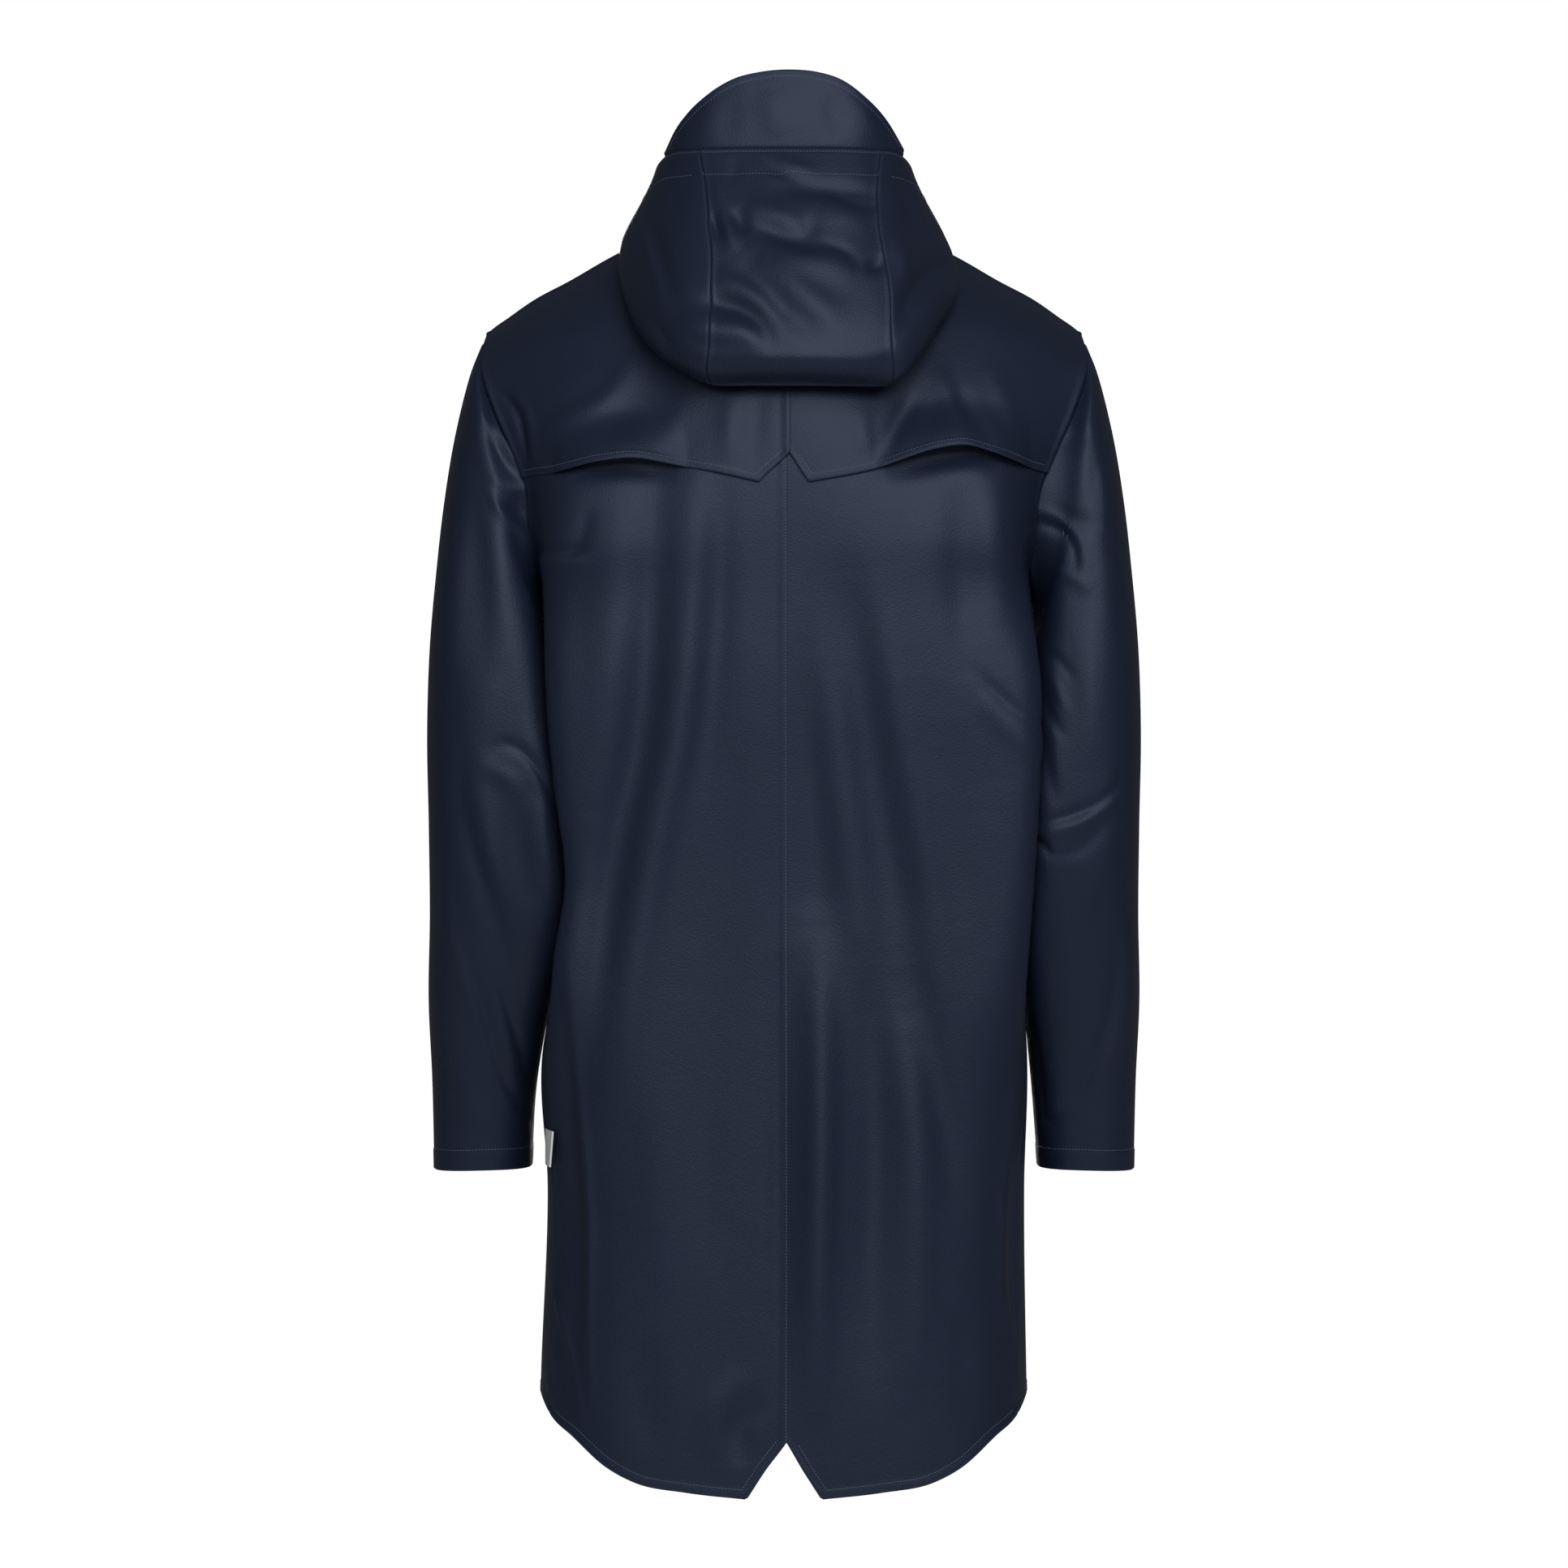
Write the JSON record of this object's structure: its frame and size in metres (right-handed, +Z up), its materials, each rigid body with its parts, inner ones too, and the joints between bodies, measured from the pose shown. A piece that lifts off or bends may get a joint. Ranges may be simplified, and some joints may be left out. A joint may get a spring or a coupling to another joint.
{
  "type": "hooded raincoat",
  "caption": "Long hooded raincoat in smooth coated cloth, worn shape but empty, hood down, with a vented back yoke, two-piece sleeves and a notched curved hem.",
  "frame": {"origin": "middle of the neck at the height of the back neck seam, where the wearer's neck and shoulders hold the coat", "axes": "+Z up the body, the front faces -Y, the wearer's left is +X"},
  "size_m": [0.5494, 0.3046, 1.0796],
  "materials": {
    "coated_cloth": "smooth coated cloth, satin sheen, dark navy",
    "snap": "satin, near black navy",
    "label": "bare white woven tape",
    "thread": "grey blue sewing thread"
  },
  "bodies": {
    "root": {"back_left": "coated_cloth", "back_right": "coated_cloth", "yoke_left": "coated_cloth", "yoke_right": "coated_cloth", "front_left": "coated_cloth", "front_right": "coated_cloth", "placket": "coated_cloth", "sleeve_left_back": "coated_cloth", "sleeve_left_front": "coated_cloth", "sleeve_right_back": "coated_cloth", "sleeve_right_front": "coated_cloth", "hood_left": "coated_cloth", "hood_centre": "coated_cloth", "hood_right": "coated_cloth", "hood_visor": "coated_cloth", "snap_1": "snap", "snap_2": "snap", "snap_3": "snap", "snap_4": "snap", "snap_5": "snap", "snap_6": "snap", "side_label": "label"}
  },
  "joints": []
}
